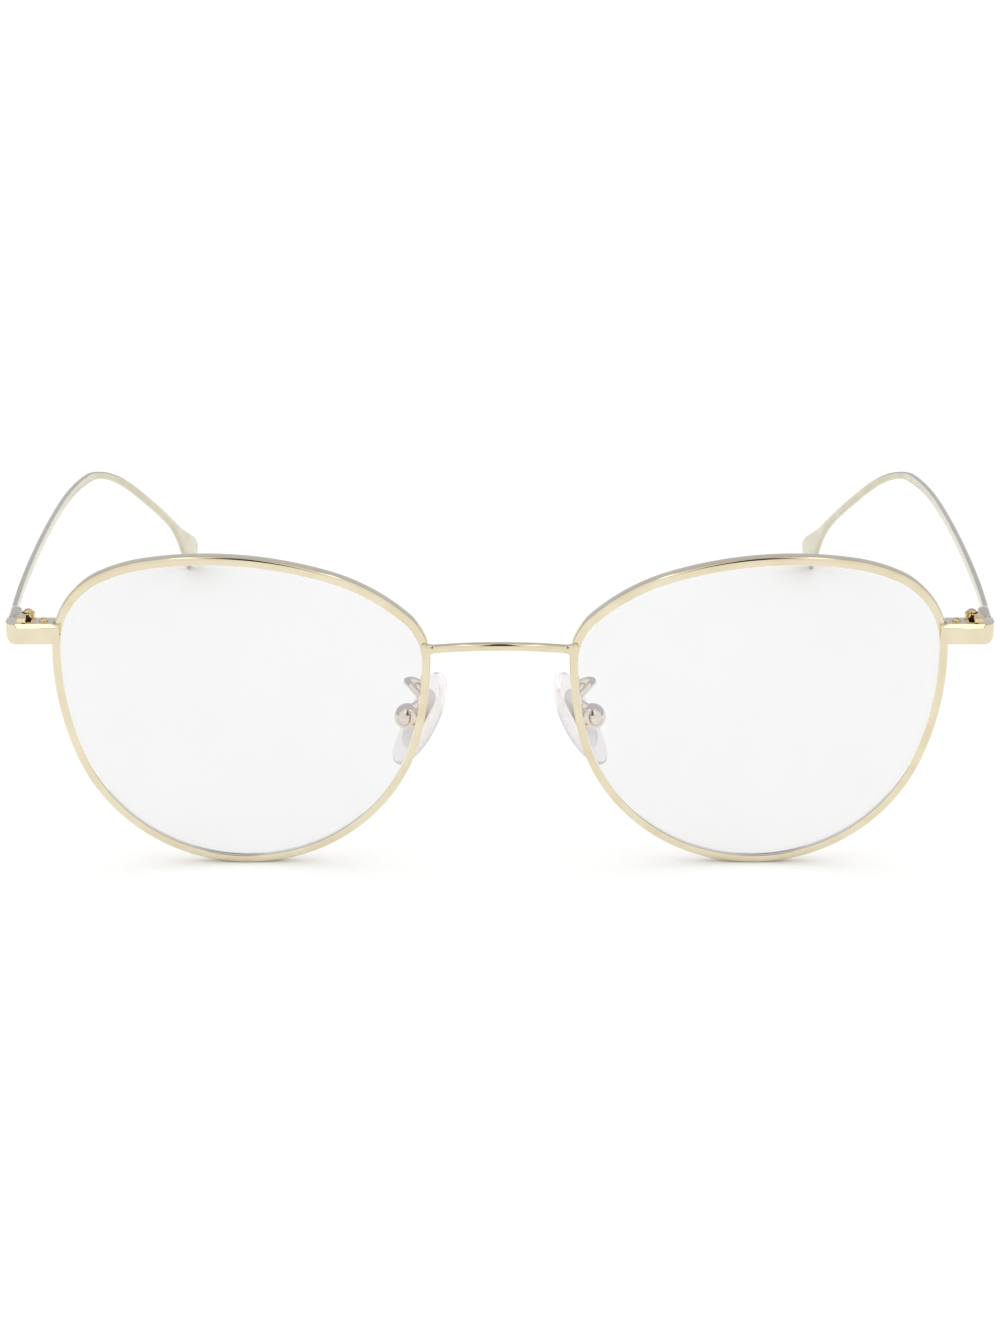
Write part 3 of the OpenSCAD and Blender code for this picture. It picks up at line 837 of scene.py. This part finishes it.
def pad_box():
    """Polished round box, slotted for the tongue and open towards the pad."""
    centre = -BOX_BACK - 0.1
    profile = [(BOX_R * math.cos(t), BOX_R * math.sin(t)) for t in np.radians(np.linspace(-88, 88, 45))]
    ball = moved(lathe("box", profile, 72), Matrix.Translation((centre, 0, 0)))
    slot = box_piece("slot", (-BOX_BACK - 1, -SLOT_T, -SLOT_H), (-BOX_BACK + 3, SLOT_T, SLOT_H))
    combine(ball, slot, "DIFFERENCE")
    combine(ball, box_piece("face", (-BOX_FACE, -3, -3), (3, 3, 3)), "DIFFERENCE")
    combine(ball, pin_hole(PAD_PIN_R, 3), "DIFFERENCE")
    soften(ball, 0.05, 3, 40)
    return moved(ball, ON_PAD)


def pad_screw():
    length = 2 * BOX_R - 0.3
    head = screw(shaft_r=PAD_PIN_R - 0.01, shaft_len=length, head_r=0.6, head_h=0.35, slot_w=0.18)
    to_box = Matrix.Translation((-BOX_BACK, BOX_R - 0.1, 0)) @ Matrix.Rotation(math.radians(-90), 4, "X")
    return moved(head, ON_PAD @ to_box)


ARM_R = 0.38
ARM_PATH = [np.array(p) for p in (
    (-10.2, 3.6, 23.6), (-11.3, 5.0, 24.4), (-12.4, 6.3, 25.2), (-12.9, 7.3, 25.3),
    (-12.0, 8.1, 25.1), (-10.8, 8.2, 24.4), (-10.4, 7.8, 23.3), (-10.9, 7.8, 22.2),
    (-12.1, 8.2, 21.2),
)]
ARM_STEPS = 110


def pad_arm():
    """Flattened wire that loops back from the rim to the box."""
    root = smooth_table([(0, 1.12), (0.03, 1.1), (0.1, 1), (1, 1)])
    rings = []
    for i in range(ARM_STEPS + 1):
        s = i / ARM_STEPS
        t = tangent(ARM_PATH, s)
        u = unit(np.cross(t, (0.2, 0.3, 0.93)))
        section = superellipse(ARM_R * root(s), ARM_R * 1.35 * root(s), 0.8, 20)
        rings.append(ring(along(ARM_PATH, s), u, np.cross(u, t), section))
    return sweep("arm", rings)


# ---- Assembly -----------------------------------------------------------------------------------
# Node, builder, body (SIDE is the side's name), slot
PIECES = (
    ("rim", rim, "front", "rim_metal"),
    ("lens", lens, "front", "lens"),
    ("endpiece", endpiece, "front", "rim_metal"),
    ("upper_lock", upper_lock, "front", "rim_metal"),
    ("lower_lock", lower_lock, "front", "rim_metal"),
    ("lock_screw", lock_screw, "front", "screw_metal"),
    ("front_hinge", front_hinge, "front", "hinge_metal"),
    ("temple_hinge", temple_hinge, "temple_SIDE", "hinge_metal"),
    ("hinge_screw", hinge_screw, "front", "screw_metal"),
    ("temple", temple, "temple_SIDE", "temple_metal"),
    ("pad_arm", pad_arm, "front", "pad_metal"),
    ("pad_box", pad_box, "front", "pad_metal"),
    ("pad_screw", pad_screw, "front", "screw_metal"),
    ("pad_core", pad_core, "pad_SIDE", "pad_metal"),
    ("nose_pad", nose_pad, "pad_SIDE", "pad_silicone"),
)


def assemble():
    for part, build, body, slot in PIECES:
        base = build()
        for side in SIDES:
            node = f"{part}_{side}"
            piece = bpy.data.objects.new(f"{node}_look", base.data.copy())
            finish = MATERIALS.get(part, MATERIALS[slot])
            place(piece, side, body.replace("SIDE", side), finish, node)
        bpy.data.objects.remove(base)
    bar = bridge()
    bar.name = "bridge_look"
    place(bar, "right", "front", MATERIALS["rim_metal"], "bridge")


# ---- Floor, light and camera --------------------------------------------------------------------
CAMERA_BACK = 450.0
CAMERA_UP = 187.8
CAMERA_DOWN = 19.35
FOCAL_PIXELS = 3540.0
PICTURE_H = 1334.0
SENSOR = 36.0


def floor():
    reach = 4
    corners = [(-reach, -reach, 0), (reach, -reach, 0), (reach, reach, 0), (-reach, reach, 0)]
    mesh = bpy.data.meshes.new("floor")
    mesh.from_pydata(corners, [], [(0, 1, 2, 3)])
    obj = bpy.data.objects.new("floor", mesh)
    mat, nodes, links, shader = new_material("floor")
    grain = noise(nodes, links, 900, 2)
    pale = two_tone(nodes, links, grain, (0.90, 0.90, 0.90), (0.91, 0.91, 0.91))
    links.new(pale, shader.inputs["Base Color"])
    shader.inputs["Roughness"].default_value = 0.9
    shader.inputs["Specular IOR Level"].default_value = 0.0
    mesh.materials.append(mat)
    bpy.context.scene.collection.objects.link(obj)


def side_fade(nodes, links, colour, side_colour, half):
    """Colour that stays even across the middle of a card and turns to side_colour at its sides."""
    coords = nodes.new("ShaderNodeTexCoord")
    split = nodes.new("ShaderNodeSeparateXYZ")
    size = nodes.new("ShaderNodeMath")
    size.operation = "ABSOLUTE"
    share = nodes.new("ShaderNodeMath")
    share.operation = "DIVIDE"
    share.inputs[1].default_value = half
    links.new(coords.outputs["Object"], split.inputs["Vector"])
    links.new(split.outputs["X"], size.inputs[0])
    links.new(size.outputs["Value"], share.inputs[0])
    return two_tone(nodes, links, share.outputs["Value"], colour, side_colour, 0.45, 0.95)


def glow_card(name, corners, colour, strength, side_colour=None):
    """Card that only reflections see."""
    mesh = bpy.data.meshes.new(name)
    mesh.from_pydata(corners, [], [tuple(range(len(corners)))])
    obj = bpy.data.objects.new(name, mesh)
    mat = bpy.data.materials.new(name)
    mat.use_nodes = True
    nodes = mat.node_tree.nodes
    nodes.remove(nodes["Principled BSDF"])
    glow = nodes.new("ShaderNodeEmission")
    glow.inputs["Strength"].default_value = strength
    if side_colour:
        half = max(abs(corner[0]) for corner in corners)
        fade = side_fade(nodes, mat.node_tree.links, colour, side_colour, half)
        mat.node_tree.links.new(fade, glow.inputs["Color"])
    else:
        glow.inputs["Color"].default_value = (*colour, 1)
    mat.node_tree.links.new(glow.outputs["Emission"], nodes["Material Output"].inputs["Surface"])
    mesh.materials.append(mat)
    obj.visible_camera = False
    obj.visible_diffuse = False
    obj.visible_shadow = False
    obj.visible_transmission = False
    bpy.context.scene.collection.objects.link(obj)


SKY = (1.14, 1.14, 1.14)
# What polished metal mirrors, by share of the half turn from the front over the top to the back
MIRRORED = (
    (0.0, (1.0, 1.0, 1.0)), (0.40, (1.0, 1.0, 1.0)), (0.48, (0.60, 0.62, 0.68)),
    (0.8, (0.60, 0.62, 0.72)), (1.0, (0.68, 0.70, 0.82)),
)


def surroundings():
    """Even white light, with a greyer overhead and back that only polished metal mirrors."""
    world = bpy.data.worlds.new("studio")
    bpy.context.scene.world = world
    world.use_nodes = True
    nodes, links = world.node_tree.nodes, world.node_tree.links
    nodes.clear()
    output = nodes.new("ShaderNodeOutputWorld")
    background = nodes.new("ShaderNodeBackground")
    coords = nodes.new("ShaderNodeTexCoord")
    split = nodes.new("ShaderNodeSeparateXYZ")
    front = nodes.new("ShaderNodeMath")
    front.operation = "MULTIPLY"
    front.inputs[1].default_value = -1
    turn = nodes.new("ShaderNodeMath")
    turn.operation = "ARCTAN2"
    share = nodes.new("ShaderNodeMath")
    share.operation = "DIVIDE"
    share.inputs[1].default_value = math.pi
    ramp = nodes.new("ShaderNodeValToRGB")
    ramp.color_ramp.elements.remove(ramp.color_ramp.elements[1])
    ramp.color_ramp.elements[0].color = (*MIRRORED[0][1], 1)
    for at, colour in MIRRORED[1:]:
        ramp.color_ramp.elements.new(at).color = (*colour, 1)
    rays = nodes.new("ShaderNodeLightPath")
    seen = nodes.new("ShaderNodeMixRGB")
    seen.inputs["Color1"].default_value = (*SKY, 1)
    links.new(coords.outputs["Generated"], split.inputs["Vector"])
    links.new(split.outputs["Y"], front.inputs[0])
    links.new(split.outputs["Z"], turn.inputs[0])
    links.new(front.outputs["Value"], turn.inputs[1])
    links.new(turn.outputs["Value"], share.inputs[0])
    links.new(share.outputs["Value"], ramp.inputs["Fac"])
    links.new(ramp.outputs["Color"], seen.inputs["Color2"])
    links.new(rays.outputs["Is Glossy Ray"], seen.inputs["Fac"])
    links.new(seen.outputs["Color"], background.inputs["Color"])
    links.new(background.outputs["Background"], output.inputs["Surface"])


def camera_stand():
    """Dark stand above the camera, which the bridge and brows mirror as a streak."""
    y = (SEAT - CAMERA_BACK) * MM
    half = 0.13
    low, high = 0.24, 2.0
    dark = (0.03, 0.02, 0.012)
    brown = (0.42, 0.31, 0.19)
    corners = [(-half, y, low), (half, y, low), (half, y, high), (-half, y, high)]
    glow_card("stand", corners, dark, 1, brown)


def bevel_lights():
    """Lights over the ends of the front, for the bevels of the endpieces."""
    near, far = 0.0915, 0.125
    front, back = -0.26, -0.07
    z = 0.3
    for x in (-1, 1):
        corners = [(x * near, front, z), (x * far, front, z), (x * far, back, z), (x * near, back, z)]
        glow_card("bevel_light", corners, (1.0, 0.97, 0.9), 1.8)


def softbox(name, place_at, aim, size, power):
    data = bpy.data.lights.new(name, "AREA")
    data.shape = "SQUARE"
    data.size = size
    data.energy = power
    lamp = bpy.data.objects.new(name, data)
    lamp.location = place_at
    lamp.rotation_euler = (Vector(aim) - Vector(place_at)).to_track_quat("-Z", "Y").to_euler()
    lamp.visible_glossy = False
    lamp.visible_camera = False
    bpy.context.scene.collection.objects.link(lamp)


def camera():
    data = bpy.data.cameras.new("camera")
    data.sensor_width = SENSOR
    data.lens = FOCAL_PIXELS * SENSOR / PICTURE_H
    data.clip_start = 0.01
    data.clip_end = 20
    cam = bpy.data.objects.new("camera", data)
    cam.location = (0, (SEAT - CAMERA_BACK) * MM, CAMERA_UP * MM)
    cam.rotation_euler = (math.radians(90 - CAMERA_DOWN), 0, 0)
    bpy.context.scene.collection.objects.link(cam)
    bpy.context.scene.camera = cam


assemble()
floor()
surroundings()
camera_stand()
bevel_lights()
softbox("overhead", (0.0, 0.1, 1.3), (0, 0, 0), 1.4, 1.0)
camera()
bpy.context.scene.view_settings.view_transform = "Standard"
bpy.context.scene.view_settings.look = "None"
